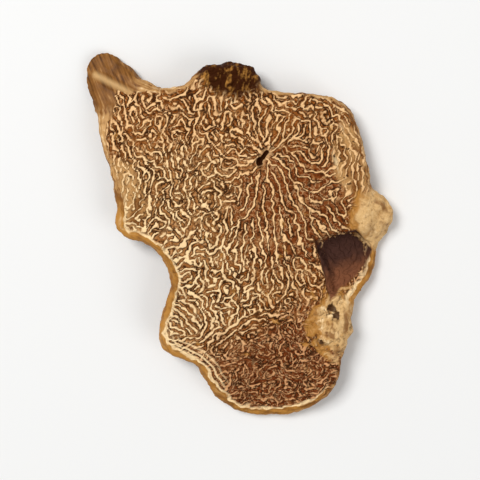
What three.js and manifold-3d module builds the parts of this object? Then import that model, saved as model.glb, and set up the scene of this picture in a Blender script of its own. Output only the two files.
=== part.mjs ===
/*
 * A dried slice of white truffle, lying with its cut face up. It grew as one piece, so it is one solid.
 *
 * Units are millimetres and +Z is up. The slice is modelled around its hub, the point that its outline can be
 * seen from all round, and is moved at the end so that the origin is below the middle of its box, on the surface
 * that it rests on. +Y points to the upper edge, where the slice is broadest.
 *
 * The slice is a thin plate that curled as it dried. Its rim hangs lowest in three places, which are its feet.
 * Round the cut face runs the old skin of the truffle. The slice was not cut through the truffle's middle, so the
 * skin slopes outwards from the cut face: it is a narrow band in the bay, and broad on the horn and the two knobs,
 * which also stand a little above the face.
 */
import * as THREE from "three";
import { mergeVertices } from "three/addons/utils/BufferGeometryUtils.js";
import Module from "manifold-3d";

const wasm = await Module();
wasm.setup();

// The plate.
const THICKNESS = 1.35; // at the hub
const RIM_SWELL = 0.55; // what the skin adds to the thickness at the rim
const SWELL_POWER = 6; // high, so that only the part next to the rim is thicker
const HALF_WIDTH = 15.5;
const HALF_LENGTH = 19;
const MIDDLE_Y = -3; // the middle of the plate's length, from the hub

// How it curled.
const EDGE_DROP = 1.7; // from the middle to the rim
const DROP_POWER = 1.6; // over 1, so that the middle stays nearly flat
const RIPPLE = 0.35;
const GROUND = -4.1; // the surface it rests on, from the middle; the feet are worn flat there
const FEET = [
  { x: -14.6, y: 14.6, reach: 9, drop: 0.75 }, // the horn
  { x: 12.6, y: -5.0, reach: 10, drop: 2.1 }, // the right-hand side, below the pocket
  { x: 1.4, y: -20.8, reach: 9, drop: 1.7 }, // the toe
];

// What stands above the cut face.
const KNOB_SWELLS = [
  { x: 13.2, y: -0.4, reach: 3.7, rise: 0.75 },
  { x: 9.2, y: -11.6, reach: 3.9, rise: 0.85 },
];

// The mesh.
const RAYS = 132;
const FACE_RINGS = 9;
const RING_CROWDING = 1.6; // over 1, so that the rings lie closer together towards the rim
const SKIN_RINGS = 5;
const SKIN_BELLY = 0.4; // height of the widest line, as a share of the thickness
const BACK_ROUND = 0.35; // radius at the back edge

// The outline: [x, y, width of the skin that shows round the cut face], anticlockwise from the horn.
const HORN = [
  [-14.8, 16.8, 3.4],
  [-16.6, 15.9, 3.4],
  [-16.9, 13.8, 2.4],
];
const LEFT_EDGE = [
  [-15.7, 10.4, 0.7],
  [-15.1, 7.2, 0.6],
  [-14.2, 4.0, 0.7],
  [-13.7, 0.8, 0.8],
  [-13.9, -1.3, 0.7],
];
const BAY = [
  [-12.9, -2.3, 0.8],
  [-11.4, -2.6, 0.9],
  [-9.9, -3.6, 1.0],
  [-8.5, -5.3, 1.1],
  [-8.1, -7.1, 1.1],
  [-8.6, -9.2, 1.0],
  [-9.3, -11.3, 0.9],
];
const HEEL = [
  [-9.4, -13.3, 0.7],
  [-8.5, -14.9, 0.8],
  [-6.8, -15.6, 1.1],
  [-5.3, -16.5, 1.2],
  [-4.5, -18.0, 1.1],
];
const TOE = [
  [-3.3, -19.9, 0.8],
  [-1.3, -21.7, 0.7],
  [1.4, -22.3, 0.6],
  [4.6, -22.0, 0.7],
  [7.3, -20.9, 0.9],
  [9.2, -18.8, 0.9],
  [10.0, -16.4, 0.8],
];
const LOWER_KNOB = [
  [9.9, -14.5, 1.2],
  [10.8, -13.0, 2.8],
  [11.3, -11.1, 3.4],
  [11.3, -9.4, 2.4],
];
const POCKET_RIM = [
  [12.4, -8.0, 0.9],
  [13.5, -6.1, 0.5],
  [13.7, -4.4, 0.5],
];
const UPPER_KNOB = [
  [13.8, -3.3, 1.2],
  [14.8, -2.3, 2.8],
  [15.3, -0.5, 3.6],
  [14.7, 1.3, 3.0],
  [13.3, 2.4, 1.4],
];
const RIGHT_EDGE = [
  [12.7, 4.0, 0.8],
  [12.2, 6.2, 0.7],
  [11.4, 8.9, 0.7],
  [10.3, 11.1, 0.7],
];
const UPPER_EDGE = [
  [8.2, 12.4, 0.6],
  [5.4, 12.6, 0.6],
  [2.9, 12.7, 0.6],
  [1.3, 13.2, 0.6],
  [0.8, 15.0, 0.7],
  [-1.0, 15.7, 0.7],
  [-3.2, 15.6, 0.7],
  [-5.2, 14.8, 0.6],
  [-6.3, 13.6, 0.6],
  [-8.6, 13.1, 0.7],
  [-10.8, 13.9, 1.3],
  [-12.7, 15.5, 2.8],
];

// The pocket is a fold of the skin that the cut opened. Its floor is deepest under its upper edge.
const POCKET_MOUTH = [
  [7.3, -2.9],
  [8.1, -5.6],
  [8.8, -7.2],
  [9.9, -8.3],
  [11.5, -7.6],
  [12.7, -6.1],
  [12.9, -4.3],
  [12.3, -2.8],
  [10.9, -2.0],
  [8.9, -2.2],
];
const POCKET = { depth: 1.9, bulge: 1.0, reach: 4.4, lean: 0.35 };

// The toe's gap is a short split beside the lower edge.
const GAP_MOUTH = [
  [-1.2, -20.0],
  [-0.3, -21.0],
  [0.9, -21.0],
  [1.1, -20.2],
  [-0.1, -19.7],
];
const GAP = { depth: 0.9, lean: 0 };
const CUT_RINGS = [
  { down: 0, size: 1 },
  { down: 0.55, size: 0.96 },
  { down: 0.85, size: 0.82 },
  { down: 1, size: 0.55 },
];
const CUT_START = 1.5; // how far above the face a cutter begins
const MOUTH_POINTS = 30;

/** A hump of height 1 over a spot, which falls smoothly to nothing at the distance reach. */
function hump(x, y, spot) {
  const share = Math.min(1, Math.hypot(x - spot.x, y - spot.y) / spot.reach);
  return (1 - share ** 2) ** 2;
}

/** Height of the plate's middle surface, which is 0 at the middle of the slice. */
function middle(x, y) {
  const out = Math.hypot(x / HALF_WIDTH, (y - MIDDLE_Y) / HALF_LENGTH);
  const ripple = RIPPLE * out * Math.sin(x / 2.7 + 0.7) * Math.sin(y / 3.3 - 0.5);
  const feet = FEET.reduce((sum, foot) => sum + foot.drop * hump(x, y, foot), 0);
  return ripple - EDGE_DROP * out ** DROP_POWER - feet;
}

/** Thickness of the plate, where share is how far out of the hub a point lies towards the rim. */
function thickness(share) {
  return THICKNESS + RIM_SWELL * share ** SWELL_POWER;
}

function centreOf(mouth) {
  const [x, y] = [0, 1].map((axis) => mouth.reduce((sum, point) => sum + point[axis], 0) / mouth.length);
  return { x, y };
}

const POCKET_SPOT = { ...centreOf(POCKET_MOUTH), reach: POCKET.reach };

/** Heights of the cut face and of the back at a point. */
function face(x, y, share) {
  const knobs = KNOB_SWELLS.reduce((sum, knob) => sum + knob.rise * hump(x, y, knob), 0);
  return middle(x, y) + thickness(share) / 2 + knobs;
}

function back(x, y, share) {
  const bulge = POCKET.bulge * hump(x, y, POCKET_SPOT);
  return Math.max(GROUND, middle(x, y) - thickness(share) / 2 - bulge);
}

/** Evenly spaced points on a closed smooth curve through knots. A third number in each knot is carried along. */
function smoothLoop(knots, count) {
  const points = knots.map(([x, y, extra = 0]) => new THREE.Vector3(x, y, extra));
  return new THREE.CatmullRomCurve3(points, true).getSpacedPoints(count).slice(0, count);
}

/** A closed surface over rings of as many points each, from the top ring to the bottom one, with a cap at each end. */
function loft(rings) {
  const count = rings[0].length;
  const vertices = rings.flat();
  const middleOf = (ring) => ring.reduce((sum, p) => sum.add(p), new THREE.Vector3()).divideScalar(count);
  const top = vertices.push(middleOf(rings[0])) - 1;
  const bottom = vertices.push(middleOf(rings.at(-1))) - 1;
  const triangles = [];
  for (let i = 0; i < count; i++) {
    const next = (i + 1) % count;
    triangles.push(top, i, next);
    for (let ring = 0; ring < rings.length - 1; ring++) {
      const upper = ring * count;
      const lower = upper + count;
      triangles.push(upper + i, lower + i, lower + next);
      triangles.push(upper + i, lower + next, upper + next);
    }
    const last = (rings.length - 1) * count;
    triangles.push(bottom, last + next, last + i);
  }
  return new THREE.BufferGeometry().setFromPoints(vertices).setIndex(triangles);
}

/** The whole slice, before its hollows are cut. */
function plate() {
  const outline = smoothLoop(
    [
      ...HORN, ...LEFT_EDGE, ...BAY, ...HEEL, ...TOE, ...LOWER_KNOB,
      ...POCKET_RIM, ...UPPER_KNOB, ...RIGHT_EDGE, ...UPPER_EDGE,
    ],
    RAYS,
  );
  const rim = outline.map(({ x, y, z: skin }) => {
    const out = Math.hypot(x, y);
    return { x, y, faceEdge: 1 - skin / out, backEdge: 1 - BACK_ROUND / out };
  });
  const ringAt = (place) => rim.map((point) => new THREE.Vector3(...place(point)));
  const flatRing = (share, edge, height) =>
    ringAt((p) => {
      const [x, y] = [p.x * p[edge] * share, p.y * p[edge] * share];
      return [x, y, height(x, y, share)];
    });
  const bellyAt = (p) => back(p.x, p.y, 1) + SKIN_BELLY * thickness(1);

  const shareOf = (k) => 1 - (1 - k / FACE_RINGS) ** RING_CROWDING;

  const rings = [];
  for (let k = 1; k <= FACE_RINGS; k++) {
    rings.push(flatRing(shareOf(k), "faceEdge", face));
  }
  for (let k = 1; k <= SKIN_RINGS; k++) {
    const turn = (k / SKIN_RINGS) * (Math.PI / 2);
    rings.push(
      ringAt((p) => {
        const share = p.faceEdge + (1 - p.faceEdge) * Math.sin(turn);
        const [x, y] = [p.x * share, p.y * share];
        const height = bellyAt(p) + (face(x, y, 1) - bellyAt(p)) * Math.cos(turn);
        return [x, y, height];
      }),
    );
  }
  for (let k = FACE_RINGS; k >= 1; k--) {
    rings.push(flatRing(shareOf(k), "backEdge", back));
  }
  return loft(rings);
}

/** What a hollow takes out: its mouth, drawn down below the cut face and closing towards its floor. */
function cutter(mouth, { depth, lean }) {
  const edge = smoothLoop(mouth, MOUTH_POINTS);
  const centre = centreOf(mouth);
  const above = edge.map(({ x, y }) => new THREE.Vector3(x, y, face(x, y, 1) + CUT_START));
  const below = CUT_RINGS.map(({ down, size }) =>
    edge.map((point) => {
      const x = centre.x + (point.x - centre.x) * size;
      const y = centre.y + (point.y - centre.y) * size;
      const top = face(point.x, point.y, 1) * size + face(centre.x, centre.y, 1) * (1 - size);
      return new THREE.Vector3(x, y + lean * depth * down, top - depth * down);
    }),
  );
  return loft([above, ...below]);
}

/** A geometry as a solid that can be joined and cut. */
function solid(geometry) {
  const bare = new THREE.BufferGeometry()
    .setAttribute("position", geometry.getAttribute("position"))
    .setIndex(geometry.getIndex());
  const merged = mergeVertices(bare, 1e-5);
  return new wasm.Manifold(
    new wasm.Mesh({
      numProp: 3,
      vertProperties: merged.getAttribute("position").array,
      triVerts: new Uint32Array(merged.getIndex().array),
    }),
  );
}

function geometryOf(body) {
  const { vertProperties, triVerts } = body.getMesh();
  return new THREE.BufferGeometry()
    .setAttribute("position", new THREE.BufferAttribute(vertProperties, 3))
    .setIndex(new THREE.BufferAttribute(triVerts, 1));
}

function truffleSlice() {
  const body = solid(plate())
    .subtract(solid(cutter(POCKET_MOUTH, POCKET)))
    .subtract(solid(cutter(GAP_MOUTH, GAP)));
  const geometry = geometryOf(body);
  geometry.computeBoundingBox();
  const { min, max } = geometry.boundingBox;
  geometry.translate(-(min.x + max.x) / 2, -(min.y + max.y) / 2, -min.z);
  geometry.computeVertexNormals();
  const flesh = new THREE.MeshStandardMaterial({ color: 0x9a6a3e, roughness: 0.75, metalness: 0 });
  const mesh = new THREE.Mesh(geometry, flesh);
  mesh.name = "truffle_slice";
  return mesh;
}

const part = new THREE.Group();
part.add(truffleSlice());

export default part;
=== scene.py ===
"""A dried slice of white truffle, cut face up on a pale table.

The slice is one piece: a fine copy of the solid in the frame. A Geometry Nodes tree works the low
relief of its veins, skin, knobs and hollows into it, and one finish colours flesh and skin.
"""
import functools
import math

import bmesh
import bpy
import numpy as np
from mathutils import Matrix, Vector
from mathutils.kdtree import KDTree


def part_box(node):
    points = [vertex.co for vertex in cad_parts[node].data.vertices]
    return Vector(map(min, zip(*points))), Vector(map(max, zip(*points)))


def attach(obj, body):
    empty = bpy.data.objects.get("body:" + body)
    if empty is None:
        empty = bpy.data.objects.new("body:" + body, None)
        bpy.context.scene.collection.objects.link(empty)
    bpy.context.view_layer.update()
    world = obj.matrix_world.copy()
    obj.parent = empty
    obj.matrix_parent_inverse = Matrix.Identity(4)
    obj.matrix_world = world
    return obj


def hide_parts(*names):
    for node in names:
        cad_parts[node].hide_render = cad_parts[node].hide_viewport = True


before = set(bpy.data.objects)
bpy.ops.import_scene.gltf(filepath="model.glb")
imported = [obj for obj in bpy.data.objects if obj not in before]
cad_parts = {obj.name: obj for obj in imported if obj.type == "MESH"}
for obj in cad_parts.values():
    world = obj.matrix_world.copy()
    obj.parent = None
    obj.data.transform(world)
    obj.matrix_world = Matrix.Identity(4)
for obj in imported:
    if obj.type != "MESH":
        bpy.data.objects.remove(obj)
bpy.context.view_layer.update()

bl_info = {
    "name": "Dried truffle slice",
    "version": (1, 0, 0),
    "blender": (4, 5, 0),
    "location": "3D View > Sidebar > Truffle",
    "description": "Builds a dried slice of white truffle and the table it lies on",
    "category": "Object",
}

NODE = "truffle_slice"
BODY = "root"
MM = 0.001
LOW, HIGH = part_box(NODE)


def spot(across, along):
    """Millimetres in the frame, from shares of the slice's width and of its length."""
    x = LOW.x + across * (HIGH.x - LOW.x)
    y = LOW.y + along * (HIGH.y - LOW.y)
    return x / MM, y / MM


# Where things are on the slice, in millimetres
PORE = spot(0.574, 0.728)
PORE_ENDS = spot(0.562, 0.716), spot(0.586, 0.740)
CREASE_ENDS = spot(0.035, 0.939), spot(0.160, 0.888)
HORN_GRAIN = -65  # degrees from the width
FAN = spot(0.670, 0.590)
ARCS = spot(0.749, 0.749)
HEEL = spot(0.228, 0.228)
HEEL_EDGE = spot(0.310, 0.145)
BAY = spot(0.150, 0.390)
HORN = spot(0.030, 0.960)
LEFT_EDGE = spot(0.110, 0.600)
RIGHT_EDGE = spot(0.860, 0.720)
LUMP = spot(0.480, 0.960)
UPPER_KNOB = spot(0.955, 0.556)
LOWER_KNOB = spot(0.825, 0.272)
KNOB_HOLES = spot(0.798, 0.320), spot(0.815, 0.300), spot(0.762, 0.222)
KNOB_FOLDS = spot(0.765, 0.270)
POCKET = spot(0.850, 0.440)
POCKET_EDGE = spot(0.905, 0.395)
POCKET_MOUTH = (spot(0.747, 0.498), spot(0.877, 0.529), spot(0.929, 0.471),
                spot(0.912, 0.427), spot(0.841, 0.374), spot(0.797, 0.342))
TOE = spot(0.560, 0.030)
TANGLE = spot(0.300, 0.640)

# Veins, in millimetres: half the width of one, what is added to it or taken off it in places,
# where its soft edge starts and ends, and the gap from one band by the heel to the next
VEIN_HALF = 0.055
WIDER_BY_BAY = 0.035
FINER_LOW = 0.015
FINER_IN_TANGLE = 0.020
VEIN_EDGE = -0.02, 0.06
BAND_GAP = 0.56
# How much finer veins get where their ridges are strong, and the limits of that
FINER_WHERE_STRONG = 1.15
FINEST_RANGE = 0.9, 2.2
VEIN_SEED = 7

# Depths and heights of the relief, in millimetres; the last two are times the wrinkle depth
SHRINKAGE = 0.28
GRIT = 0.06
PORE_DEPTH = 0.75
PORE_SWELL = 0.14
CREASE_HEIGHT = 0.22
CRATER_DEPTH = 0.5
SEAM_DEPTH = 0.16
POCKET_ROUGHNESS = 0.5
TIP_DEPTH = 0.5
LUMP_ROUGHNESS = 0.9
HORN_ROUGHNESS = 0.40
FULLNESS = 0.06  # raises the whole surface
SKIN_WRINKLES = 2.0
WALL_FOLDS = 6.5

# The wall round the edge: how far in from the outline, and how far from mid height, as a share
WALL_REACH = 0.9
WALL_SHARE = 0.42

# Millimetres over which a face is averaged, for its own height and for what lies round a hollow,
# and the least thickness that heights are shared out over
FACE_BLUR = 0.2
HOLLOW_BLUR = 2.2
THINNEST = 0.3

# What is noted on each point of the slice
NOTED = "rim", "share", "sunk", "weave", "gap"


def srgb(red, green, blue):
    """A colour given in the usual 0 to 255 steps, as the linear values that shaders take."""
    shares = [step / 255 for step in (red, green, blue)]
    return tuple(s / 12.92 if s <= 0.04045 else ((s + 0.055) / 1.055) ** 2.4 for s in shares)


def size(name, description, value, low=0.0, high=10.0):
    """A length that the user may change, given in millimetres."""
    return bpy.props.FloatProperty(
        name=name, description=description, default=value * MM, min=low * MM, max=high * MM,
        precision=5, unit="LENGTH")


def colour(name, description, value):
    """A colour that the user may change."""
    return bpy.props.FloatVectorProperty(
        name=name, description=description, default=value, subtype="COLOR", min=0, max=1)


def power(name, description, value):
    """The power of a lamp that the user may change."""
    return bpy.props.FloatProperty(
        name=name, description=description, default=value, min=0, unit="POWER")


class SliceSizes(bpy.types.PropertyGroup):
    """Sizes of the slice's fine surface."""

    mesh_step: size("Mesh step", "Edge length of the fine mesh", 0.154, 0.1, 1.0)
    smoothing: bpy.props.IntProperty(
        name="Smoothing", description="Passes that round off the solid's flat facets",
        default=20, min=0, max=60)
    vein_spacing: size("Vein spacing", "Distance from one pale vein to the next", 0.56, 0.2, 3.0)
    vein_height: size("Vein height", "How far veins stand out of the shrunken flesh", 0.08)
    skin_width: size("Skin width", "Width of the pale skin along the cut edge", 0.40)
    wrinkle_depth: size("Wrinkle depth", "Depth of the wrinkles in the skin", 0.10)


class SliceColours(bpy.types.PropertyGroup):
    """Colours of the flesh, the veins and the skin."""

    flesh: colour("Flesh", "Chestnut flesh of the upper half", srgb(144, 79, 26))
    flesh_low: colour("Lower flesh", "Darker, redder flesh of the lower third", srgb(117, 54, 20))
    vein: colour("Vein", "Cream veins", srgb(248, 201, 144))
    # The palest cream of the veins and pale lines; the same colour is also the painted highlights on
    # the skin's streaks, the amber band and the knob's crinkles.
    pale_vein_and_highlight: colour("Bright vein", "Veins where they are palest", srgb(255, 221, 168))
    vein_low: colour("Lower vein", "Veins of the lower third", srgb(218, 160, 110))
    # Dark specks between the veins; the same colour is also the painted shade beside the veins.
    speck_and_shade: colour("Speck", "Dark specks between the veins", srgb(50, 22, 4))
    skin: colour("Skin", "Pale gold skin", srgb(202, 154, 96))
    # Dark streaks and wrinkles of the skin; the same colour is also the painted shade in the hollows
    # of its folds and crinkles.
    skin_dark_and_shade: colour("Skin hollows", "Wrinkles of the skin", srgb(126, 78, 34))
    amber: colour("Amber", "Glassy amber skin around the bay", srgb(186, 130, 60))
    knob: colour("Knob", "Pale tan skin of the knobs", srgb(220, 178, 120))
    horn: colour("Horn", "Grey brown horn", srgb(140, 92, 42))
    lump: colour("Lump", "Dark brown lump at the top", srgb(58, 26, 6))
    # The pocket's floor colours are partly its dark brown wall and partly painted light and shade:
    # near black for the shaded upper side, lighter and redder for the lit lower side.
    pocket: colour("Pocket", "Nearly black floor of the pocket", srgb(72, 46, 38))
    pocket_lit_low: colour("Lower pocket", "Redder lower part of the pocket", srgb(128, 80, 54))


class StageSettings(bpy.types.PropertyGroup):
    """The table, the lamps and the camera."""

    floor: colour("Floor", "Plain pale table", (0.86, 0.86, 0.85))
    key_power: power("Key lamp", "Power of the soft lamp at the upper left", 2.0)
    fill_power: power("Fill lamp", "Power of the soft lamp at the lower right", 0.6)
    sky: bpy.props.FloatProperty(
        name="Sky", description="Strength of the even light from all sides", default=0.32, min=0)
    view_height: size("View height", "Length of table that the camera sees", 50.5, 10.0, 500.0)
    lens: bpy.props.FloatProperty(
        name="Lens", description="Focal length", default=85, min=20, unit="CAMERA")
    lean: bpy.props.FloatProperty(
        name="Lean", description="Tilt of the camera from straight down, towards the horn",
        default=math.radians(9), subtype="ANGLE")


def paired(operation, swapped=False):
    """A method for Wire: one maths node of the wire and another value, or of the two swapped."""
    def method(self, other=0.0):
        sides = (other, self) if swapped else (self, other)
        return self.bench.maths(operation, *sides)
    return method


class Wire:
    """A number or a vector in a node tree, so that its maths reads as plain Python."""

    __add__ = paired("ADD")
    __radd__ = paired("ADD", swapped=True)
    __sub__ = paired("SUBTRACT")
    __rsub__ = paired("SUBTRACT", swapped=True)
    __truediv__ = paired("DIVIDE")
    __rtruediv__ = paired("DIVIDE", swapped=True)
    __pow__ = paired("POWER")
    __rpow__ = paired("POWER", swapped=True)
    __abs__ = paired("ABSOLUTE")
    # The smaller of two numbers, the larger of two, and the sine of an angle in radians
    least = paired("MINIMUM")
    most = paired("MAXIMUM")
    sine = paired("SINE")

    def __init__(self, bench, socket):
        self.bench = bench
        self.socket = socket
        self.is_vector = socket.type in {"VECTOR", "RGBA"}

    def __mul__(self, other):
        if self.is_vector and not isinstance(other, tuple):
            return self.bench.scaled(self, other)
        return self.bench.maths("MULTIPLY", self, other)

    __rmul__ = __mul__

    def rise(self, start, end):
        """0 before start, 1 past end, with a smooth step between."""
        sockets = {"Value": self, "From Min": start, "From Max": end}
        return self.bench.node("ShaderNodeMapRange", {"interpolation_type": "SMOOTHSTEP"}, sockets)

    def parts(self):
        """The three numbers of a vector."""
        split = self.bench.make("ShaderNodeSeparateXYZ", {}, {"Vector": self})
        return tuple(Wire(self.bench, out) for out in split.outputs)


class Bench:
    """Makes the nodes of one tree, for shaders and for geometry alike."""

    def __init__(self, tree):
        self.tree = tree

    def feed(self, socket, value):
        """Link a wire to a socket, or set the socket to a plain value."""
        if isinstance(value, Wire):
            self.tree.links.new(value.socket, socket)
        elif socket.type == "RGBA":
            socket.default_value = (*value[:3], 1.0)
        else:
            socket.default_value = value

    def make(self, kind, settings, sockets):
        """A node of a kind: its settings first, then its sockets, by their identifiers."""
        made = self.tree.nodes.new(kind)
        for name, value in settings.items():
            setattr(made, name, value)
        inputs = {socket.identifier: socket for socket in made.inputs}
        for name, value in sockets.items():
            self.feed(inputs[name], value)
        return made

    def node(self, kind, settings=None, sockets=None, out=0):
        """One output of a new node."""
        return Wire(self, self.make(kind, settings or {}, sockets or {}).outputs[out])

    def maths(self, operation, first, second):
        """One Math node, or one Vector Math node where a side is a vector."""
        vectors = any(isinstance(side, tuple) or getattr(side, "is_vector", False)
                      for side in (first, second))
        kind = "ShaderNodeVectorMath" if vectors else "ShaderNodeMath"
        names = ("Vector", "Vector_001") if vectors else ("Value", "Value_001")
        return self.node(kind, {"operation": operation}, dict(zip(names, (first, second))))

    def scaled(self, vector, factor):
        """A vector times a number."""
        sockets = {"Vector": vector, "Scale": factor}
        return self.node("ShaderNodeVectorMath", {"operation": "SCALE"}, sockets)

    def vector(self, x, y, z):
        """A vector from three numbers."""
        return self.node("ShaderNodeCombineXYZ", {}, {"X": x, "Y": y, "Z": z})

    def blend(self, share, first, second):
        """The first colour where share is 0, the second where it is 1."""
        sockets = {"Factor_Float": share, "A_Color": first, "B_Color": second}
        return self.node("ShaderNodeMix", {"data_type": "RGBA"}, sockets, out=2)

    def cloud(self, where, per_mm, detail=1.0):
        """Smooth noise between about -0.5 and 0.5."""
        sockets = {"Vector": where, "Scale": per_mm, "Detail": detail}
        return self.node("ShaderNodeTexNoise", {}, sockets) - 0.5

    def layered(self, ground, *layers):
        """The ground with colours laid over it in turn, each as thickly as its share says."""
        for share, tint in layers:
            ground = self.blend(share, ground, tint)
        return ground

    def surface(self, sockets):
        """A Principled surface, led to the output of the finish."""
        made = self.node("ShaderNodeBsdfPrincipled", {}, sockets)
        self.make("ShaderNodeOutputMaterial", {}, {"Surface": made})


class Slice:
    """What is known at each point of the slice, in millimetres, as wires of one tree."""

    def __init__(self, bench, place, read):
        self.bench = bench
        self.place = place
        self.rim, self.share, self.sunk, self.weave, self.gap = map(read, NOTED)
        self.x, self.y, self.z = place.parts()

    def cloud(self, per_mm, detail=1.0, shift=None):
        """Smooth noise over the slice, read a little way off where a shift is given."""
        where = self.place if shift is None else self.place + shift
        return self.bench.cloud(where, per_mm, detail)

    def drift(self, per_mm):
        """A smoothly wandering vector, each part between about -0.5 and 0.5."""
        sockets = {"Vector": self.place, "Scale": per_mm, "Detail": 1.0}
        return self.bench.node("ShaderNodeTexNoise", {}, sockets, out=1) - (0.5, 0.5, 0.5)

    def near(self, centre, reach, stretch=(1.0, 1.0)):
        """1 over a spot of the plan, fading to 0 at its reach; stretch widens x and y."""
        away_x = (self.x - centre[0]) / stretch[0]
        away_y = (self.y - centre[1]) / stretch[1]
        away = (away_x * away_x + away_y * away_y) ** 0.5
        return 1 - away.rise(0.0, reach)

    def near_line(self, ends, reach):
        """1 along a straight line of the plan, fading to 0 at its reach."""
        (start_x, start_y), (end_x, end_y) = ends
        run_x, run_y = end_x - start_x, end_y - start_y
        share = (self.x - start_x) * run_x + (self.y - start_y) * run_y
        share = (share / (run_x * run_x + run_y * run_y)).most(0.0).least(1.0)
        away_x = self.x - start_x - share * run_x
        away_y = self.y - start_y - share * run_y
        return 1 - ((away_x * away_x + away_y * away_y) ** 0.5).rise(0.0, reach)

    def streaks(self, across_per_mm, along_per_mm, detail=1.0):
        """Noise drawn out along the edge, on the faces and on the wall."""
        where = self.bench.vector(
            self.x * along_per_mm, self.y * along_per_mm, (self.rim + self.z * 0.7) * across_per_mm)
        return self.bench.cloud(where, 1.0, detail)

    def brushed(self, degrees, across_per_mm, along_per_mm):
        """Noise drawn out into straight lines at an angle to the width."""
        turn = math.radians(degrees)
        along = self.x * math.cos(turn) + self.y * math.sin(turn)
        across = self.y * math.cos(turn) - self.x * math.sin(turn)
        where = self.bench.vector(along * along_per_mm, across * across_per_mm, self.z)
        return self.bench.cloud(where, 1.0, 2.0)

    def front(self):
        """1 on the cut face that looks up, 0 on the underside."""
        return self.share.rise(0.35, 0.65)

    def lower_part(self):
        """1 in the darker, redder lower third of the flesh."""
        slope = self.y - self.x * 0.45 + self.cloud(0.35, 2.0) * 5.0
        return slope.rise(-7.0, -12.5)

    def vein_strength(self):
        """How pale the veins are: palest by the bay and the heel, a little fainter in the arcs."""
        pale = self.near(BAY, 20.0, (1.0, 0.8)) + self.near(HEEL, 12.0) * 0.9
        faint = self.near(ARCS, 9.0, (1.2, 1.0)) * 0.1
        return 0.45 + pale - faint + self.cloud(0.5) * 0.5

    def from_vein(self):
        """Millimetres to the middle of the nearest vein, more where veins meet or break off."""
        level, slope_x, slope_y = self.weave.parts()
        slope = (slope_x * slope_x + slope_y * slope_y) ** 0.5
        turn = self.bench.maths("ARCTAN2", slope, level) / (2 * math.pi)
        height = (level * level + slope * slope) ** 0.5
        low, high = FINEST_RANGE
        slim = (height * FINER_WHERE_STRONG).most(low).least(high)
        calm = self.near(HEEL, 12.0, (1.0, 0.9)).most(self.near(FAN, 7.0)) * 0.6
        ragged = self.cloud(2.4, 3.0)
        broken = ragged * (0.30 - calm * 0.20 + self.lower_part() * 0.30)
        return turn * self.gap * slim + broken.most(-0.015)

    def heel_bands(self):
        """1 on the pale bands that run along the edge by the heel."""
        wander = self.cloud(0.6, 2.0)
        band = (self.rim * (2 * math.pi / BAND_GAP) + wander * 2.4 + 3.5).sine().rise(0.15, 0.70)
        here = self.near(HEEL_EDGE, 6.0, (1.25, 0.9)).rise(0.1, 0.4)
        return band * here * (self.rim + wander * 0.8).rise(2.5, 1.7) * self.rim.rise(0.6, 0.8)

    def veins(self, from_vein):
        """0 in the flesh, 1 on a vein."""
        uneven = self.cloud(0.8, 2.0) * 0.08
        half = VEIN_HALF + self.near(BAY, 16.0) * WIDER_BY_BAY + uneven
        half = half - self.lower_part() * FINER_LOW - self.tangled() * FINER_IN_TANGLE
        return 1 - (from_vein - half).rise(*VEIN_EDGE)

    def tangled(self):
        """1 in the upper left, where the veins are finest and the flesh between them paler."""
        return self.near(TANGLE, 9.5, (1.0, 0.8)).rise(0.1, 0.6)

    def gilded(self):
        """1 where the flesh by the left and the right edge is washed with gold."""
        edges = self.near(LEFT_EDGE, 7.5, (0.60, 1.0)).most(self.near(RIGHT_EDGE, 6.0, (0.55, 1.0)))
        return (edges + self.cloud(0.6, 3.0)).rise(0.15, 0.6)

    def folds(self):
        """The rise and fall of the dry folds in the wall of skin round the edge."""
        return self.streaks(1.0, 0.30, 3.0) + self.cloud(0.75, 3.0) * 0.9

    def skin(self, width):
        """1 on the skin: the knobs, and a rim that is wider by the horn, left edge, bay and heel."""
        wide = (self.near(HORN, 7.5, (1.0, 1.1)) * 4.2
                + self.near(LEFT_EDGE, 7.0, (0.7, 1.0)) * 0.4
                + self.near(BAY, 9.0, (0.8, 1.2)).most(self.near(HEEL_EDGE, 6.0)) * 0.8)
        ragged = self.cloud(0.9, 4.0) * 1.4 + self.streaks(1.4, 0.25, 2.0) * 0.6
        edge = 1 - (self.rim + ragged - wide - width).rise(-0.15, 0.15)
        return edge.most(self.knobs())

    def towards_knobs(self):
        """Rises towards the middle of the two smooth knobs of the right edge."""
        ragged = self.cloud(0.8, 4.0)
        upper = self.near(UPPER_KNOB, 5.6, (0.9, 1.15)) + ragged * 0.5
        return upper.most(self.near(LOWER_KNOB, 5.3, (0.95, 1.12)) + ragged * 1.3)

    def knobs(self):
        """1 on the two knobs."""
        return self.towards_knobs().rise(0.30, 0.50)

    def knob_seam(self):
        """1 on the narrow seam where the flesh ends at a knob."""
        towards = self.towards_knobs()
        return towards.rise(0.20, 0.32) * towards.rise(0.56, 0.42) * self.rim.rise(1.0, 1.8)

    def within(self, corners):
        """Millimetres inside the nearest side of an outline whose corners run clockwise."""
        sides = []
        for (start_x, start_y), (end_x, end_y) in zip(corners, corners[1:] + corners[:1]):
            run_x, run_y = end_x - start_x, end_y - start_y
            inwards = (self.x - start_x) * run_y - (self.y - start_y) * run_x
            sides.append(inwards / math.hypot(run_x, run_y))
        return functools.reduce(Wire.least, sides)

    def pocket(self):
        """1 inside the hollow of the right edge."""
        inside = self.near(POCKET, 4.9, (1.0, 1.1)).rise(0.0, 0.25)
        ragged = self.cloud(0.7, 5.0) * 1.1
        mouth = (self.within(POCKET_MOUTH) + ragged * 0.5).rise(-0.22, 0.02)
        deep = inside * (self.sunk * 2.0 + ragged).rise(0.7, 1.3)
        return mouth.most(deep) * self.rim.rise(0.4, 0.8) * self.front()

    def pocket_tips(self):
        """1 in the pocket's left and lower corners, which the solid leaves shallow."""
        tips = self.near(POCKET_MOUTH[-1], 3.4).most(self.near(POCKET_MOUTH[0], 1.8))
        return self.pocket() * tips.rise(0.1, 0.5) * self.sunk.rise(0.8, 0.3)

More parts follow.
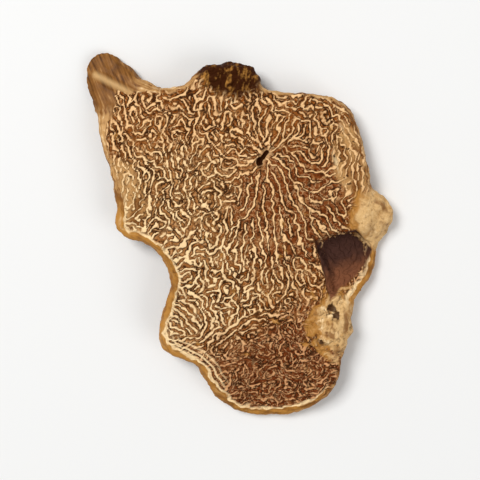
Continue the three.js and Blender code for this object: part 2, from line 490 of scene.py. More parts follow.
    def craters(self):
        """1 in the small craters of the lower knob, and less in the cracks between them."""
        ragged = self.cloud(1.9, 3.0) * 1.7
        holes = [(self.near(hole, 0.85, (1.0, 1.2)) + ragged).rise(0.42, 0.70)
                 for hole in KNOB_HOLES]
        cracks = abs(self.cloud(0.8, 3.0, self.drift(0.7))).rise(0.030, 0.010)
        cracks = cracks * self.cloud(0.6, 2.0).rise(-0.04, 0.10)
        cracks = cracks * self.near(LOWER_KNOB, 5.6).rise(0.2, 0.5)
        return functools.reduce(Wire.most, holes, cracks * 0.7)


# The solid, read as a fine mesh

def fine_copy(step):
    """The node's solid as one closed mesh of small even faces."""
    solid = bpy.data.objects[NODE]
    form = bmesh.new()
    form.from_mesh(solid.data)
    bmesh.ops.remove_doubles(form, verts=form.verts, dist=0.001 * MM)
    mesh = bpy.data.meshes.new("slice_blank")
    form.to_mesh(mesh)
    form.free()
    blank = bpy.data.objects.new("slice_blank", mesh)
    bpy.context.collection.objects.link(blank)
    remesh = blank.modifiers.new("fine faces", "REMESH")
    remesh.mode = "VOXEL"
    remesh.voxel_size = step
    fine = new_mesh(blank)
    bpy.data.objects.remove(blank)
    return fine


def new_mesh(piece):
    """A plain mesh of what the piece's modifiers make."""
    graph = bpy.context.evaluated_depsgraph_get()
    made = bpy.data.meshes.new_from_object(piece.evaluated_get(graph))
    if not made.polygons:
        raise RuntimeError(f"{piece.name} came out empty")
    return made


def points_of(mesh):
    """The mesh's points in millimetres, one row each."""
    flat = np.empty(len(mesh.vertices) * 3)
    mesh.vertices.foreach_get("co", flat)
    return flat.reshape(-1, 3) / MM


def smooth(start, end, values):
    """0 before start, 1 past end, with a smooth step between."""
    share = np.clip((values - start) / (end - start), 0, 1)
    return share * share * (3 - 2 * share)


class Plan:
    """The slice seen from above on a grid: where it lies and how high its two faces are."""

    CELL = 0.25
    MARGIN = 12

    def __init__(self, points):
        self.corner = points[:, :2].min(axis=0) - self.MARGIN * self.CELL
        self.column, self.row = ((points[:, :2] - self.corner) / self.CELL).astype(int).T
        self.shape = (self.row.max() + self.MARGIN + 1, self.column.max() + self.MARGIN + 1)
        self.top = self.gather(np.maximum, points[:, 2], -np.inf)
        self.bottom = self.gather(np.minimum, points[:, 2], np.inf)
        self.covered = np.isfinite(self.top)

    def gather(self, rule, heights, start):
        """The highest or the lowest point over each cell."""
        grid = np.full(self.shape, start)
        rule.at(grid, (self.row, self.column), heights)
        return grid

    def spread(self, grid, reach):
        """The grid averaged over about reach millimetres, without what lies off the slice."""
        rows = np.fft.fftfreq(self.shape[0], self.CELL)[:, None]
        columns = np.fft.rfftfreq(self.shape[1], self.CELL)[None, :]
        passed = np.exp(-2 * (math.pi * reach) ** 2 * (rows ** 2 + columns ** 2))
        soft = [np.fft.irfft2(np.fft.rfft2(layer) * passed, s=self.shape)
                for layer in (np.where(self.covered, grid, 0), self.covered.astype(float))]
        return soft[0] / np.maximum(soft[1], 0.01)

    def at_points(self, grid):
        """The grid's value under each point."""
        return grid[self.row, self.column]

    def rim(self, points):
        """Each point's distance from the outline, and the direction of the outline there."""
        inner = self.covered
        beside = np.zeros_like(inner)
        for axis in (0, 1):
            for shift in (-1, 1):
                beside |= np.roll(inner, shift, axis)
        rows, columns = np.nonzero(beside & ~inner)
        tree = KDTree(len(rows))
        for index, (row, column) in enumerate(zip(rows, columns)):
            x = self.corner[0] + (column + 0.5) * self.CELL
            y = self.corner[1] + (row + 0.5) * self.CELL
            tree.insert((x, y, 0), index)
        tree.balance()
        nearest = np.array([tree.find((x, y, 0))[0] for x, y, _ in points])
        away = points[:, :2] - nearest[:, :2]
        distance = np.hypot(*away.T)
        along = np.arctan2(away[:, 1], away[:, 0]) + math.pi / 2
        return np.maximum(distance - self.CELL / 2, 0), along


class Weave:
    """The veins on a fine grid of the plan: a maze of ridges that has settled along its grain."""

    CELL = 0.10
    MARGIN = 1.2
    TURNS = 6
    ROUNDS = 10
    SPREADS = {"low": 1.06, "even": 1.0, "open": 1.50}  # gaps of the veins, times the spacing
    RING_WIDTH = 0.40
    SHARPNESS = 1.3
    THINNING = 0.1
    LEVELLED_OVER = 2.2
    FAINTEST = 0.05
    BENDS = (0.32, 0.04), (0.9, 0.10)  # how broad each bend of the veins is, and how far it goes

    def __init__(self, plan, points, spacing, seed):
        self.spacing = spacing
        self.random = np.random.default_rng(seed)
        self.corner = points[:, :2].min(axis=0) - self.MARGIN
        far = points[:, :2].max(axis=0) + self.MARGIN
        size = np.ceil((far - self.corner) / self.CELL).astype(int)
        self.shape = size[1], size[0]
        sides = [low + (np.arange(count) + 0.5) * self.CELL
                 for low, count in zip(self.corner, size)]
        self.x, self.y = np.meshgrid(*sides)
        rows = np.fft.fftfreq(size[1], self.CELL)[:, None]
        columns = np.fft.rfftfreq(size[0], self.CELL)[None, :]
        self.steps = np.broadcast_arrays(columns, rows)
        self.fineness = np.hypot(*self.steps)
        cells = np.stack([self.x.ravel(), self.y.ravel(), 0 * self.x.ravel()], axis=1)
        self.rim, self.rim_angle = (side.reshape(self.shape) for side in plan.rim(cells))
        self.cosine = np.zeros(self.shape)
        self.sine = np.zeros(self.shape)
        self.run()
        self.gap, self.level = self.settle()
        spread = np.fft.rfft2(self.level) * 1j / np.maximum(self.fineness, 0.01)
        self.slopes = [np.fft.irfft2(spread * step, s=self.shape) for step in self.steps]
        self.even_out()
        self.wander = [sum(self.cloud(reach) * far for reach, far in self.BENDS)
                       for _ in self.steps]

    def cloud(self, reach):
        """Smooth noise of about unit size whose clouds are reach millimetres across."""
        noise = np.fft.rfft2(self.random.standard_normal(self.shape))
        soft = np.fft.irfft2(noise * np.exp(-(self.fineness * reach) ** 2), s=self.shape)
        return soft / soft.std()

    def pull(self, angle, strength):
        """Turn the veins towards an angle."""
        self.cosine += strength * np.cos(2 * angle)
        self.sine += strength * np.sin(2 * angle)

    def run(self):
        """Set which way the veins run: by the edges, the bay, the pore and the heel, with noise."""
        x, y, rim = self.x, self.y, self.rim
        self.pull(math.radians(100), 0.22 * smooth(-12, -6, y))
        right_edge = smooth(7.8, 10.8, x) * smooth(4.8, 7.2, y)
        left_edge = smooth(-8.2, -11.2, x) * smooth(-0.2, 2.8, y)
        away, _ = polar(x, y, BAY)
        comb = np.exp(-(away / 8.5) ** 8) * np.exp(-((rim - 1.6) / 0.8) ** 2)
        edges = right_edge * np.exp(-(rim / 2.8) ** 2)
        left_edge = 0.8 * left_edge * np.exp(-(rim / 2.6) ** 2)
        self.pull(self.rim_angle, np.exp(-(rim / 0.9) ** 2) + edges + left_edge)
        self.pull(self.rim_angle + math.pi / 2, 0.9 * comb)

        away, bearing = polar(x, y, PORE)
        fan = smooth(0.62, 0.96, np.cos(bearing + math.radians(72)))
        self.pull(bearing, 1.6 * fan * np.exp(-(away / 11) ** 4) + 1.3 * np.exp(-(away / 3.6) ** 2))

        away, bearing = polar(x, y, ARCS)
        ring = np.exp(-((away - 2.6) / 1.6) ** 2) * smooth(-0.1, 0.5, -np.sin(bearing))
        self.pull(bearing + math.pi / 2, ring)

        away, bearing = polar(x, y, HEEL)
        rings = smooth(1.0, 2.0, away) * np.exp(-(away / 6.8) ** 8)
        self.pull(bearing + math.pi / 2, 1.2 * rings * smooth(0.05, 0.4, np.sin(bearing)))

        rising = HEEL[1] + 2.6 * smooth(-6, 3, x)
        slope = np.arctan(2.6 / 9 * smooth(-6, -3, x) * smooth(3, 0, x) * 1.5)
        level = np.exp(-((y - rising) / 1.0) ** 2) * smooth(-9, -7, x) * smooth(3, 0, x)
        self.pull(slope, 1.3 * level)
        self.cosine += 0.60 * self.cloud(0.95)
        self.sine += 0.60 * self.cloud(0.95)

    def settle(self):
        """Noise, sieved again and again for ridges of the right spacing and direction."""
        run = 0.5 * np.arctan2(self.sine, self.cosine)
        strict = np.clip(np.hypot(self.cosine, self.sine), 0, 1)
        away, _ = polar(self.x, self.y, FAN)
        wide = np.clip(smooth(7.5, 4.2, away) + 0.15 * self.cloud(2.0), 0, 1)
        low = smooth(-8, -12, self.y - 0.45 * self.x + self.cloud(2.0)) * (1 - wide)
        shares = {"low": low, "even": 1 - wide - low, "open": wide}
        bearing = np.arctan2(*reversed(self.steps))
        sieves = []
        for name, share in shares.items():
            gap = self.SPREADS[name] * self.spacing
            ring = np.exp(-((self.fineness * gap - 1) / self.RING_WIDTH) ** 2)
            for turn in np.arange(self.TURNS) * math.pi / self.TURNS:
                sector = np.sin(bearing - turn) ** 4
                along = (1 - strict) * 0.5 + strict * 1.3 * np.abs(np.cos(run - turn)) ** 6
                sieves.append((ring * sector, share * along))
        ridges = self.random.standard_normal(self.shape)
        for _ in range(self.ROUNDS):
            waves = np.fft.rfft2(ridges)
            level = sum(share * np.fft.irfft2(waves * sieve, s=self.shape)
                        for sieve, share in sieves)
            level /= level.std()
            ridges = np.tanh(self.SHARPNESS * level - self.THINNING)
        gap = self.spacing * sum(self.SPREADS[name] * share for name, share in shares.items())
        return gap, level - level.mean()

    def even_out(self):
        """Make the ridges equally strong all over, but for the points where they meet."""
        power = np.fft.rfft2(self.level ** 2 + self.slopes[0] ** 2 + self.slopes[1] ** 2)
        blur = np.exp(-(self.fineness * self.LEVELLED_OVER) ** 2)
        power = np.fft.irfft2(power * blur, s=self.shape)
        strength = np.sqrt(np.maximum(power, self.FAINTEST))
        self.level = self.level / strength
        self.slopes = [side / strength for side in self.slopes]

    def at(self, points, grid):
        """The grid's value at each point, blended between its four nearest cells."""
        place = (points[:, :2] - self.corner) / self.CELL - 0.5
        low = np.floor(place).astype(int)
        share_x, share_y = (place - low).T
        column, row = low.T
        near = grid[row, column] * (1 - share_x) + grid[row, column + 1] * share_x
        far = grid[row + 1, column] * (1 - share_x) + grid[row + 1, column + 1] * share_x
        return near * (1 - share_y) + far * share_y

    def on(self, points):
        """What the finish needs at each point: the ridges' level and slopes, and their gap."""
        bent = points[:, :2] + np.stack([self.at(points, side) for side in self.wander], axis=1)
        ridges = [self.at(bent, grid) for grid in (self.level, *self.slopes)]
        return np.stack(ridges, axis=1), self.at(bent, self.gap)


def polar(x, y, centre):
    """Distance and bearing of each point from a centre."""
    return np.hypot(x - centre[0], y - centre[1]), np.arctan2(y - centre[1], x - centre[0])


def survey(mesh, vein_spacing):
    """Note on each point what the relief and the finish need to know about it."""
    points = points_of(mesh)
    plan = Plan(points)
    rim, _ = plan.rim(points)
    top, bottom = (plan.at_points(plan.spread(grid, FACE_BLUR))
                   for grid in (plan.top, plan.bottom))
    share = np.clip((points[:, 2] - bottom) / np.maximum(top - bottom, THINNEST), 0, 1)
    sunk = plan.at_points(plan.spread(plan.top, HOLLOW_BLUR)) - top
    weave, gap = Weave(plan, points, vein_spacing, VEIN_SEED).on(points)
    for name, values in zip(NOTED, (rim, share, sunk, weave, gap)):
        kind, field = ("FLOAT_VECTOR", "vector") if values.ndim == 2 else ("FLOAT", "value")
        layer = mesh.attributes.new(name, kind, "POINT")
        layer.data.foreach_set(field, np.ravel(values))


# The low relief

def known_in_geometry(bench, place):
    """The noted values as a geometry tree reads them."""
    def read(name):
        settings = {"data_type": "FLOAT_VECTOR" if name == "weave" else "FLOAT"}
        return bench.node("GeometryNodeInputNamedAttribute", settings, {"Name": name})
    return Slice(bench, place, read)


def relief_height(body, inputs):
    """How far the surface stands out at each point, in millimetres."""
    front = body.front()
    skin = body.skin(inputs["Skin Width"])
    flesh = 1 - skin
    knobs = body.knobs() * front
    pocket = body.pocket()
    horn = body.near(HORN, 5.5).rise(0.2, 0.6)
    lump = body.near(LUMP, 5.0, (1.2, 1.0)).rise(0.15, 0.6)

    veins = body.veins(body.from_vein()).most(body.heel_bands())
    veins = (veins - 0.4) * inputs["Vein Height"]
    shrunken = body.cloud(0.45, 3.0) * SHRINKAGE
    grit = body.cloud(3.2, 2.0) * GRIT
    wrinkles = body.streaks(1.9, 0.40, 2.0) + body.cloud(1.1, 2.0) * 0.7
    bumps = body.cloud(0.40, 1.0) * 1.5 + body.cloud(1.3, 2.0) * 0.20
    wrinkles = skin * wrinkles * (1 - knobs * 0.6) * inputs["Wrinkle Depth"] * SKIN_WRINKLES
    wall = 1 - body.rim.rise(0.1, WALL_REACH)
    folds = wall * body.folds() * inputs["Wrinkle Depth"] * WALL_FOLDS
    pore = body.near_line(PORE_ENDS, 0.60) * -PORE_DEPTH + body.near(PORE, 1.9) * PORE_SWELL
    crease = body.near_line(CREASE_ENDS, 0.8) * CREASE_HEIGHT
    torn = body.cloud(0.95, 3.0)
    brushed = body.brushed(HORN_GRAIN, 1.1, 0.2)
    return (flesh * (veins + shrunken) + grit + wrinkles + folds
            + knobs * bumps - body.craters() * CRATER_DEPTH * front
            + front * pore + front * crease - body.knob_seam() * front * SEAM_DEPTH
            + pocket * torn * POCKET_ROUGHNESS - body.pocket_tips() * TIP_DEPTH
            + lump * torn * LUMP_ROUGHNESS + horn * brushed * HORN_ROUGHNESS)


INPUTS = (
    ("Smoothing", "NodeSocketInt", "smoothing"),
    ("Vein Height", "NodeSocketFloat", "vein_height"),
    ("Skin Width", "NodeSocketFloat", "skin_width"),
    ("Wrinkle Depth", "NodeSocketFloat", "wrinkle_depth"),
)


def relief_tree(finish):
    """Geometry nodes that round the blank's facets and raise its relief, with named inputs."""
    tree = bpy.data.node_groups.new("slice relief", "GeometryNodeTree")
    ports = tree.interface
    ports.new_socket("Geometry", in_out="INPUT", socket_type="NodeSocketGeometry")
    for name, kind, _ in INPUTS:
        ports.new_socket(name, in_out="INPUT", socket_type=kind)
    ports.new_socket("Geometry", in_out="OUTPUT", socket_type="NodeSocketGeometry")
    bench = Bench(tree)
    entry = tree.nodes.new("NodeGroupInput")
    given = {out.name: Wire(bench, out) for out in entry.outputs if out.name}

    blur = {"data_type": "FLOAT_VECTOR"}
    position = bench.node("GeometryNodeInputPosition")
    rounded = bench.node("GeometryNodeBlurAttribute", blur, {
        "Value": position, "Iterations": given["Smoothing"]})
    body = bench.node("GeometryNodeSetPosition", {}, {
        "Geometry": given["Geometry"], "Position": rounded})

    here = bench.node("GeometryNodeInputPosition")
    height = relief_height(known_in_geometry(bench, here * (1 / MM)), given) + FULLNESS
    normal = bench.node("GeometryNodeInputNormal")
    raised = here + normal * (height * MM)
    x, y, z = raised.parts()
    resting = bench.vector(x, y, z.most(0.0))
    body = bench.node("GeometryNodeSetPosition", {}, {"Geometry": body, "Position": resting})

    body = bench.node("GeometryNodeSetShadeSmooth", {}, {"Geometry": body})
    body = bench.node("GeometryNodeRealizeInstances", {}, {"Geometry": body})
    body = bench.node("GeometryNodeSetMaterial", {}, {"Geometry": body, "Material": finish})
    leave = tree.nodes.new("NodeGroupOutput")
    bench.feed(leave.inputs["Geometry"], body)
    return tree


def worked(piece, tree, values):
    """The piece's mesh with the tree's relief, as a plain mesh."""
    modifier = piece.modifiers.new("relief", "NODES")
    modifier.node_group = tree
    for port in tree.interface.items_tree:
        if port.in_out == "INPUT" and port.name in values:
            modifier[port.identifier] = values[port.name]
    made = new_mesh(piece)
    piece.modifiers.remove(modifier)
    return made


# The bake map

MAP_NAME = "OFBake"
FRONT_SCALE = 0.0208
BACK_SCALE = 0.0096
MAP_GAP = 0.006
STRIPS = 2
STRIP_HEIGHT = 0.060


def lay_map(mesh):
    """A map with no overlaps: the cut face, the underside beside it, the wall in strips above."""
    vertex = np.empty(len(mesh.loops), int)
    mesh.loops.foreach_get("vertex_index", vertex)
    count = np.empty(len(mesh.polygons), int)
    mesh.polygons.foreach_get("loop_total", count)
    face = np.repeat(np.arange(len(count)), count)

    def over_face(values):
        """The mean over each face, at each of its corners."""
        return (np.bincount(face, values) / count)[face]

    width, length = (HIGH - LOW).xy / MM
    x, y = (points_of(mesh)[:, :2] - np.array(LOW.xy) / MM)[vertex].T
    rim, share = (noted(mesh, name)[vertex] for name in ("rim", "share"))
    cosine, sine = x - width / 2, y - length / 2
    middle = np.arctan2(over_face(sine), over_face(cosine))
    turn = np.arctan2(sine, cosine) - middle
    turn = (turn + math.pi) % (2 * math.pi) - math.pi
    around = (middle / (2 * math.pi) + 0.5) * STRIPS
    strip = np.minimum(np.floor(around), STRIPS - 1)
    around += turn / (2 * math.pi) * STRIPS - strip

    wall = (over_face(rim) < WALL_REACH) & (np.abs(over_face(share) - 0.5) < WALL_SHARE)
    front = over_face(share) > 0.5
    tall = (strip + share) * (STRIP_HEIGHT + MAP_GAP)
    beside = 1 - MAP_GAP - width * BACK_SCALE
    u = np.where(front, MAP_GAP + x * FRONT_SCALE, beside + (width - x) * BACK_SCALE)
    v = np.where(front, y * FRONT_SCALE, y * BACK_SCALE) + MAP_GAP
    u = np.where(wall, MAP_GAP + around * (1 - 2 * MAP_GAP), u)
    v = np.where(wall, 1 - MAP_GAP - tall, v)
    layer = mesh.uv_layers.new(name=MAP_NAME)
    layer.uv.foreach_set("vector", np.stack([u, v], axis=1).astype(np.float32).ravel())


def noted(mesh, name):
    """What was noted on each point of the mesh."""
    values = np.empty(len(mesh.vertices))
    mesh.attributes[name].data.foreach_get("value", values)
    return values


# The finish

def known_in_shader(bench):
    """The noted values as a shader reads them."""
    def read(name):
        out = 1 if name == "weave" else 2
        return bench.node("ShaderNodeAttribute", {"attribute_name": name}, {}, out)
    place = bench.node("ShaderNodeTexCoord", out=3) * (1 / MM)
    return Slice(bench, place, read)


def new_finish(name):
    """An empty finish, and the bench that its nodes are made on."""
    finish = bpy.data.materials.new(name)
    finish.use_nodes = True
    finish.node_tree.nodes.clear()
    return finish, Bench(finish.node_tree)


def flesh_colour(body, colours, from_vein, veins):
    """Chestnut flesh with cream veins and dark specks, redder in the fan and towards the toe."""
    bench = body.bench
    lower = body.lower_part()
    redder = lower.most(body.near(FAN, 11.0).rise(0.1, 0.6) * 0.80)
    tangled = body.tangled()
    wash = body.cloud(1.1, 3.0, (3.0, 9.0, 0.0))
    mottle = body.cloud(0.55, 3.0)
    grainy = body.cloud(2.6, 3.0)
    threads = abs(body.cloud(1.5, 2.0, body.drift(1.2) * 0.8))
    # Painted shade: a dark lining beside the veins, in patches, stands in for the shadow at the
    # sides of the raised veins.
    vein_side_shade = from_vein.rise(0.09, 0.14) * from_vein.rise(0.27, 0.17)
    patchy = body.cloud(0.7, 4.0, (0.0, 5.0, 0.0)).rise(-0.15, 0.18)
    halo = from_vein.rise(0.20, 0.04) * (1 - lower * 0.5)
    column = body.streaks(1.1, 0.20, 2.0) + body.cloud(1.6, 2.0) * 0.3
    gilt = bench.layered(
        colours.skin_dark_and_shade,
        (column.rise(-0.14, 0.10), colours.skin),
        (column.rise(0.12, 0.28), colours.pale_vein_and_highlight))
    ground = bench.layered(
        colours.flesh,
        (redder, colours.flesh_low),
        (body.near(BAY, 20.0) * 0.28, colours.skin),
        (tangled * 0.16, colours.skin),
        (wash.rise(0.02, 0.28) * (1 - redder) * 0.45, colours.skin),
        (mottle.rise(0.0, 0.4) * 0.50, colours.skin),
        (mottle.rise(0.0, -0.35) * 0.5, colours.speck_and_shade),
        (grainy.rise(0.0, -0.20) * 0.75, colours.speck_and_shade),
        (grainy.rise(0.04, 0.24) * 0.45, colours.skin),
        (threads.rise(0.040, 0.008) * 0.38, colours.vein),
        (vein_side_shade * (patchy * 0.9 + 0.38), colours.speck_and_shade),
        (halo * 0.22, colours.skin),
        (body.gilded() * 0.75, gilt))

    strength = body.vein_strength()
    faded = body.cloud(0.9, 2.0) * 1.4 + 0.95 + body.near(FAN, 8.0) * 0.6
    faded = faded.least(1.0).most(0.35)
    shown = ((strength.rise(-0.2, 0.6) * 0.40 + 0.60) * faded).most(tangled * 0.95)
    bright = strength.rise(0.35, 1.0).most(tangled * 0.9)
    pale = bench.layered(colours.vein, (bright, colours.pale_vein_and_highlight), (lower, colours.vein_low))
    specks = body.cloud(2.1, 2.0, body.drift(3.0) * 0.2)
    flecks = body.cloud(3.2, 2.0, (9.0, 4.0, 0.0)).rise(0.07, 0.15)
    specks = specks.rise(0.10, 0.19).most(flecks * tangled * 0.9) * (1 - veins) * 0.8
    return bench.layered(
        ground,
        (veins * shown, pale),
        (body.heel_bands() * 0.85, colours.pale_vein_and_highlight),
        (specks, colours.speck_and_shade))


def skin_colour(body, colours):
    """Pale gold skin streaked along the edge, tan on the knobs and grey brown on the horn."""
    bench = body.bench
    streak = body.streaks(2.8, 0.30, 2.0) + body.cloud(1.6, 3.0) * 0.5
    shade = bench.layered(
        colours.skin,
        # Painted shade: darker where the wall's folds sink.
        (body.folds().rise(0.05, -0.30) * 0.6, colours.skin_dark_and_shade),
        (streak.rise(0.08, -0.16), colours.skin_dark_and_shade),
        # The palest streaks are partly pale skin and partly painted highlights.
        (streak.rise(0.08, 0.28) * 0.8, colours.pale_vein_and_highlight))

    patch = body.cloud(0.9, 3.0)
    worn = body.cloud(0.6, 3.0, (7.0, 3.0, 0.0)) + body.near(LOWER_KNOB, 6.0) * 0.10
    flecks = body.cloud(3.4, 3.0)
    crinkle = body.brushed(82, 1.5, 0.45) + body.cloud(1.0, 3.0) * 0.7
    folded = body.near(KNOB_FOLDS, 3.4, (0.8, 1.4)).rise(0.15, 0.5)
    groove = body.rim + body.streaks(1.4, 0.30, 3.0) * 1.2
    groove = groove.rise(0.55, 0.75) * groove.rise(1.20, 0.95)
    groove = groove * body.cloud(0.7, 3.0).rise(-0.1, 0.1)
    knob = bench.layered(
        colours.knob,
        (patch.rise(0.0, -0.3) * 0.5, colours.skin_dark_and_shade),
        (patch.rise(0.05, 0.3) * 0.5, colours.pale_vein_and_highlight),
        (worn.rise(0.06, 0.22) * 0.6, colours.amber),
        (flecks.rise(-0.02, -0.22) * 0.5, colours.skin_dark_and_shade),
        (flecks.rise(0.04, 0.24) * 0.4, colours.pale_vein_and_highlight),
        # Painted light and shade of folds that the mesh doesn't have: the pale crinkle lines are
        # painted highlights, and the dark ones partly brown lines, partly painted shade.
        (crinkle.rise(0.0, -0.16) * folded * 0.8, colours.skin_dark_and_shade),
        (crinkle.rise(0.04, 0.20) * folded, colours.pale_vein_and_highlight),
        (groove * 0.8, colours.skin_dark_and_shade),
        # Painted shade: the craters and cracks, sunk in the relief, are painted near black.
        (body.craters() * 0.9, colours.lump))

    brushed = body.brushed(HORN_GRAIN, 4.2, 0.30) + body.cloud(0.8, 2.0) * 0.5
    horn = bench.layered(
        colours.horn,
        (brushed.rise(0.10, -0.30) * 0.8, colours.lump),
        (brushed.rise(0.04, 0.32) * 0.7, colours.skin),
        # Painted highlight: a pale line along the raised crease.
        (body.near_line(CREASE_ENDS, 0.6) * 0.7, colours.knob))
    return bench.layered(
        shade, (body.knobs(), knob), (body.near(HORN, 7.5).rise(0.12, 0.5), horn))


def edge_bands(body, colours, coat):
    """An amber band by the bay, the heel, the toe and the pocket, with a cream line inside it."""
    bench = body.bench
    here = body.near(BAY, 10.0, (1.0, 1.25)).most(body.near(HEEL_EDGE, 7.0))
    here = here.most(body.near(TOE, 9.0, (1.3, 1.0)) * 0.8).most(body.near(POCKET_EDGE, 4.6))
    here = here.rise(0.1, 0.35)
    streak = body.streaks(2.2, 0.30, 3.0) + body.cloud(1.4, 3.0) * 0.5
    edge = body.rim + streak * 0.5 + body.cloud(0.35, 2.0) * 1.1
    amber = bench.layered(
        colours.amber,
        # Painted shade: darker where the wall's folds sink.
        (body.folds().rise(0.08, -0.28) * 0.75, colours.skin_dark_and_shade),
        (streak.rise(0.02, -0.25) * 0.7, colours.skin_dark_and_shade),
        (streak.rise(0.04, 0.26) * 0.8, colours.skin),
        # The palest amber streaks are partly pale streaks and partly painted highlights on the
        # glassy amber.
        (streak.rise(0.18, 0.34) * 0.7, colours.pale_vein_and_highlight),
        (body.knob_seam() * (1 - here), colours.amber))
    band = (here * edge.rise(1.00, 0.80)).most(body.knob_seam() * 0.8 * body.front())
    broken = (body.cloud(1.3, 3.0) * 2.4 + 0.8).least(1.0).most(0.2)
    line = edge.rise(0.78, 0.88) * edge.rise(1.22, 0.98) * body.front() * broken
    return bench.layered(coat, (band, amber), (here * line, colours.pale_vein_and_highlight))


def slice_finish(colours, sizes):
    """The one finish of the slice: flesh, skin, knobs, horn, lump, pocket and pore."""
    finish, bench = new_finish("dried truffle")
    body = known_in_shader(bench)
    from_vein = body.from_vein()
    veins = body.veins(from_vein)
    skin = body.skin(sizes.skin_width / MM)
    coat = bench.blend(skin, flesh_colour(body, colours, from_vein, veins),
                       skin_colour(body, colours))
    lump = body.near(LUMP, 5.2, (1.25, 1.0)) + body.cloud(1.0, 3.0) * 0.6
    crumbs = body.brushed(80, 2.2, 0.8) + body.cloud(2.4, 3.0) * 0.6
    crumbly = bench.blend(crumbs.rise(-0.02, 0.34), colours.lump, colours.amber)
    # Painted shade and light: the pocket is painted near black towards its upper side and lighter
    # and redder towards its lower side, as light falls into the hollow.
    depth = (body.y - POCKET[1]) - (body.x - POCKET[0]) * 0.3
    depth = (depth + body.cloud(0.8, 2.0) * 2.5).rise(0.8, -1.8)
    floor = bench.blend(depth, colours.pocket, colours.pocket_lit_low)
    ragged = body.cloud(1.8, 2.0) * 0.5
    lips = (body.near_line(PORE_ENDS, 1.0) + ragged * 1.6).rise(0.30, 0.80) * body.front()
    slit = body.near_line(PORE_ENDS, 0.46).most(body.near(PORE_ENDS[0], 0.72, (1.0, 1.3)))
    slit = (slit + ragged * 1.6).rise(0.40, 0.60) * body.front()
    coat = bench.layered(
        edge_bands(body, colours, coat),
        (lump.rise(0.25, 0.55), crumbly),
        (body.pocket(), floor),
        (lips * 0.6, colours.vein),
        (slit, colours.speck_and_shade))

    rough = 0.72 - skin * 0.16 - veins * 0.06 + body.cloud(1.5, 2.0) * 0.2
    fine = body.cloud(5.5, 3.0) * 0.6 + body.cloud(14.0, 2.0) * 0.25
    ridge = 1 - from_vein.rise(0.02, 0.22)
    height = ridge * (1 - skin) * 0.9 + fine + body.streaks(5.0, 0.7, 2.0) * skin * 0.8
    bump = bench.node("ShaderNodeBump", {}, {
        "Strength": 0.9, "Distance": 0.10 * MM, "Height": height})
    bench.surface({
        "Base Color": coat, "Roughness": rough, "Normal": bump, "Specular IOR Level": 0.04,
        "Coat Weight": skin * 0.10, "Coat Roughness": 0.40})
    return finish


def plain_finish(name, value, rough):
    """A plain matt finish, the same all over."""
    finish, bench = new_finish(name)
    bench.surface({"Base Color": value, "Roughness": rough})
    return finish


class TRUFFLE_OT_slice(bpy.types.Operator):
    """Build the dried slice from the solid in the frame"""

    bl_idname = "truffle.slice"
    bl_label = "Dried slice"

    def execute(self, context):
        """Make the mesh, its relief and its finish, and put it in the solid's place."""
        sizes = context.scene.slice_sizes
        mesh = fine_copy(sizes.mesh_step)
        survey(mesh, sizes.vein_spacing / MM)
        piece = bpy.data.objects.new("dried_slice", mesh)
        context.collection.objects.link(piece)
        finish = slice_finish(context.scene.slice_colours, sizes)
        values = {name: getattr(sizes, prop) for name, kind, prop in INPUTS}
        lengths = {name for name, kind, _ in INPUTS if kind == "NodeSocketFloat"}
        values.update({name: values[name] / MM for name in lengths})
        piece.data = worked(piece, relief_tree(finish), values)
        piece.data.name = "dried_slice"
        lay_map(piece.data)
        if finish.name not in piece.data.materials:
            raise RuntimeError("the slice has lost its finish")
        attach(piece, BODY)
        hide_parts(NODE)
        return {"FINISHED"}


# The stage, in metres: the table's side as a multiple of the slice's length, and the lamps
TABLE_TIMES = 80
KEY_PLACE = -0.21, 0.21, 0.42
KEY_WIDTH = 0.20
FILL_PLACE = 0.30, -0.16, 0.30
FILL_WIDTH = 0.30


def soft_lamp(name, place, target, width, power):
    """A square area lamp that looks at a target."""
    data = bpy.data.lights.new(name, "AREA")
    data.size = width
    data.energy = power
    lamp = bpy.data.objects.new(name, data)
    lamp.location = place
    lamp.rotation_euler = (Vector(target) - Vector(place)).to_track_quat("-Z", "Y").to_euler()
    bpy.context.collection.objects.link(lamp)


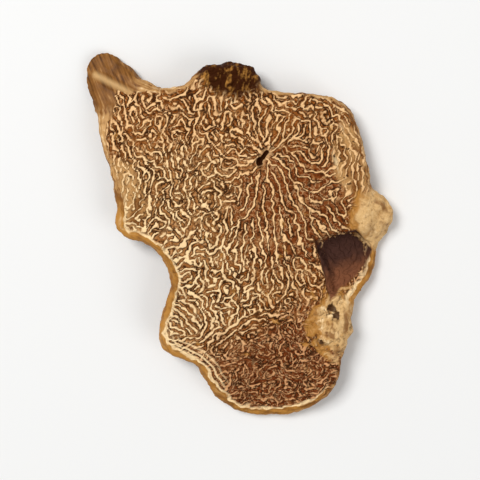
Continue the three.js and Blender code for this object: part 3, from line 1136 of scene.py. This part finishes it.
class TRUFFLE_OT_stage(bpy.types.Operator):
    """Lay the pale table, hang the lamps and set the camera"""

    bl_idname = "truffle.stage"
    bl_label = "Stage"

    def execute(self, context):
        """Make the table, the lamps, the sky and the camera."""
        stage = context.scene.stage_settings
        middle = (LOW + HIGH) / 2
        half = TABLE_TIMES / 2 * (HIGH.y - LOW.y)
        table = bpy.data.meshes.new("table")
        corners = [(-half, -half, 0), (half, -half, 0), (half, half, 0), (-half, half, 0)]
        table.from_pydata(corners, [], [(0, 1, 2, 3)])
        table.materials.append(plain_finish("pale table", stage.floor, 0.8))
        floor = bpy.data.objects.new("table", table)
        context.collection.objects.link(floor)

        soft_lamp("key lamp", KEY_PLACE, middle, KEY_WIDTH, stage.key_power)
        soft_lamp("fill lamp", FILL_PLACE, middle, FILL_WIDTH, stage.fill_power)
        world = bpy.data.worlds.new("soft sky")
        world.use_nodes = True
        sky = world.node_tree.nodes["Background"]
        sky.inputs["Color"].default_value = (1, 1, 1, 1)
        sky.inputs["Strength"].default_value = stage.sky
        context.scene.world = world

        data = bpy.data.cameras.new("camera")
        data.lens = stage.lens
        data.clip_start = 0.01
        camera = bpy.data.objects.new("camera", data)
        distance = stage.view_height * stage.lens / data.sensor_width
        away = Vector((0, math.sin(stage.lean), math.cos(stage.lean)))
        camera.location = middle + away * distance
        camera.rotation_euler = (-stage.lean, 0, 0)
        context.collection.objects.link(camera)
        bpy.context.scene.camera = camera
        context.scene.view_settings.view_transform = "Standard"
        return {"FINISHED"}


class TRUFFLE_PT_panel(bpy.types.Panel):
    """The slice and its stage, in the sidebar"""

    bl_idname = "TRUFFLE_PT_panel"
    bl_label = "Dried truffle slice"
    bl_space_type = "VIEW_3D"
    bl_region_type = "UI"
    bl_category = "Truffle"

    def draw(self, context):
        """List the sizes, the colours and the operators."""
        for group in SETTINGS:
            box = self.layout.box()
            settings = getattr(context.scene, group)
            for name in settings.__annotations__:
                box.prop(settings, name)
        self.layout.operator(TRUFFLE_OT_slice.bl_idname)
        self.layout.operator(TRUFFLE_OT_stage.bl_idname)


SETTINGS = {
    "slice_sizes": SliceSizes,
    "slice_colours": SliceColours,
    "stage_settings": StageSettings,
}
CLASSES = (*SETTINGS.values(), TRUFFLE_OT_slice, TRUFFLE_OT_stage, TRUFFLE_PT_panel)


def register():
    """Make the settings, the operators and the panel known."""
    for kind in CLASSES:
        bpy.utils.register_class(kind)
    for name, kind in SETTINGS.items():
        setattr(bpy.types.Scene, name, bpy.props.PointerProperty(type=kind))


def unregister():
    """Take them away again."""
    for name in SETTINGS:
        delattr(bpy.types.Scene, name)
    for kind in reversed(CLASSES):
        bpy.utils.unregister_class(kind)


def main():
    """Build everything."""
    register()
    bpy.ops.truffle.slice()
    bpy.ops.truffle.stage()


if __name__ == "__main__":
    main()
